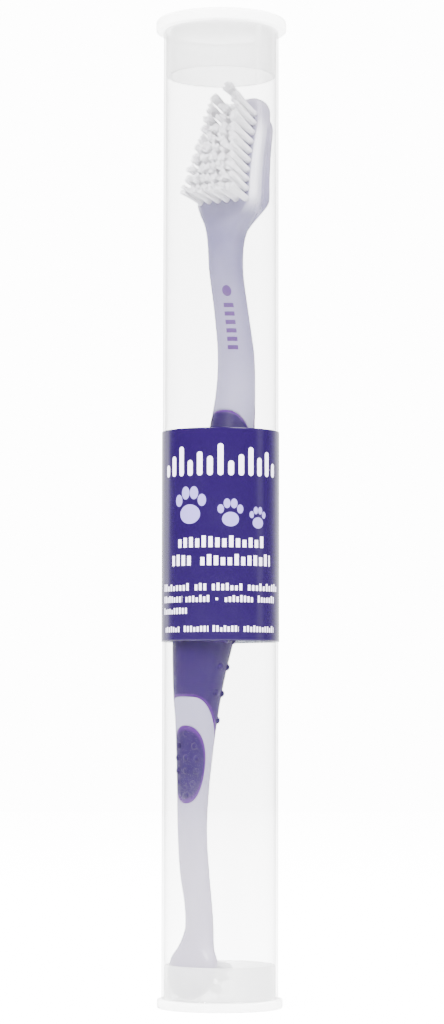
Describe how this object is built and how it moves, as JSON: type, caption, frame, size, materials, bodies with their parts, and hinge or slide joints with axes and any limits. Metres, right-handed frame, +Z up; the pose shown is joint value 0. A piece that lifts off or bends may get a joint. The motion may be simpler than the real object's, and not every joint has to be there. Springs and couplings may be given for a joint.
{
  "type": "pet toothbrush",
  "caption": "Double-ended pet toothbrush with a large and a small bristle head and a soft violet grip, standing in a clear storage tube with two frosted end plugs.",
  "frame": {"origin": "centre of the bottom plug's flat outer face, on which the object stands", "axes": "+Z up along the tube; +X to the right and -Y towards a viewer who sees the large head's bristles turned to the left; the bristle side faces 38 degrees to the left of -Y"},
  "size_m": [0.0288, 0.0288, 0.2171],
  "materials": {
    "lavender_plastic": "satin, slightly translucent",
    "violet_rubber": "satin soft rubber",
    "white_nylon": "fine bristles",
    "clear_plastic": "clear, glossy",
    "frosted_plastic": "frosted, translucent",
    "printed_film": "glossy printed film"
  },
  "bodies": {
    "bottom_plug": {"bottom_plug": "frosted_plastic"},
    "case": {"case_tube": "clear_plastic", "case_label": "printed_film"},
    "top_plug": {"top_plug": "frosted_plastic"},
    "toothbrush": {"handle_core": "lavender_plastic", "grip_sleeve": "violet_rubber", "thumb_pad": "violet_rubber", "tuft_large_1_1": "white_nylon", "tuft_large_1_2": "white_nylon", "tuft_large_1_3": "white_nylon", "tuft_large_1_4": "white_nylon", "tuft_large_1_5": "white_nylon", "tuft_large_1_6": "white_nylon", "tuft_large_2_1": "white_nylon", "tuft_large_2_2": "white_nylon", "tuft_large_2_3": "white_nylon", "tuft_large_2_4": "white_nylon", "tuft_large_2_5": "white_nylon", "tuft_large_2_6": "white_nylon", "tuft_large_3_1": "white_nylon", "tuft_large_3_2": "white_nylon", "tuft_large_3_3": "white_nylon", "tuft_large_3_4": "white_nylon", "tuft_large_3_5": "white_nylon", "tuft_large_4_1": "white_nylon", "tuft_large_4_2": "white_nylon", "tuft_large_4_3": "white_nylon", "tuft_large_4_4": "white_nylon", "tuft_large_4_5": "white_nylon", "tuft_large_5_1": "white_nylon", "tuft_large_5_2": "white_nylon", "tuft_large_5_3": "white_nylon", "tuft_large_5_4": "white_nylon", "tuft_large_5_5": "white_nylon", "tuft_large_6_1": "white_nylon", "tuft_large_6_2": "white_nylon", "tuft_large_6_3": "white_nylon", "tuft_large_6_4": "white_nylon", "tuft_large_7_1": "white_nylon", "tuft_large_7_2": "white_nylon", "tuft_large_7_3": "white_nylon", "tuft_large_7_4": "white_nylon", "tuft_large_8_1": "white_nylon", "tuft_large_8_2": "white_nylon", "tuft_large_8_3": "white_nylon", "tuft_large_9_1": "white_nylon", "tuft_large_9_2": "white_nylon", "tuft_large_9_3": "white_nylon", "tuft_large_10_1": "white_nylon", "tuft_large_10_2": "white_nylon", "tuft_large_11_1": "white_nylon", "tuft_small_1_1": "white_nylon", "tuft_small_1_2": "white_nylon", "tuft_small_1_3": "white_nylon", "tuft_small_1_4": "white_nylon", "tuft_small_2_1": "white_nylon", "tuft_small_2_2": "white_nylon", "tuft_small_2_3": "white_nylon", "tuft_small_3_1": "white_nylon", "tuft_small_3_2": "white_nylon"}
  },
  "joints": [
    {"name": "case_lift", "type": "slide", "parent": "bottom_plug", "child": "case", "axis": [0, 0, 1], "range_m": [0, 0.205]},
    {"name": "top_plug_pull", "type": "slide", "parent": "case", "child": "top_plug", "axis": [0, 0, 1], "range_m": [0, 0.03]},
    {"name": "toothbrush_play", "type": "slide", "parent": "bottom_plug", "child": "toothbrush", "axis": [0, 0, 1], "range_m": [0, 0.003]}
  ]
}
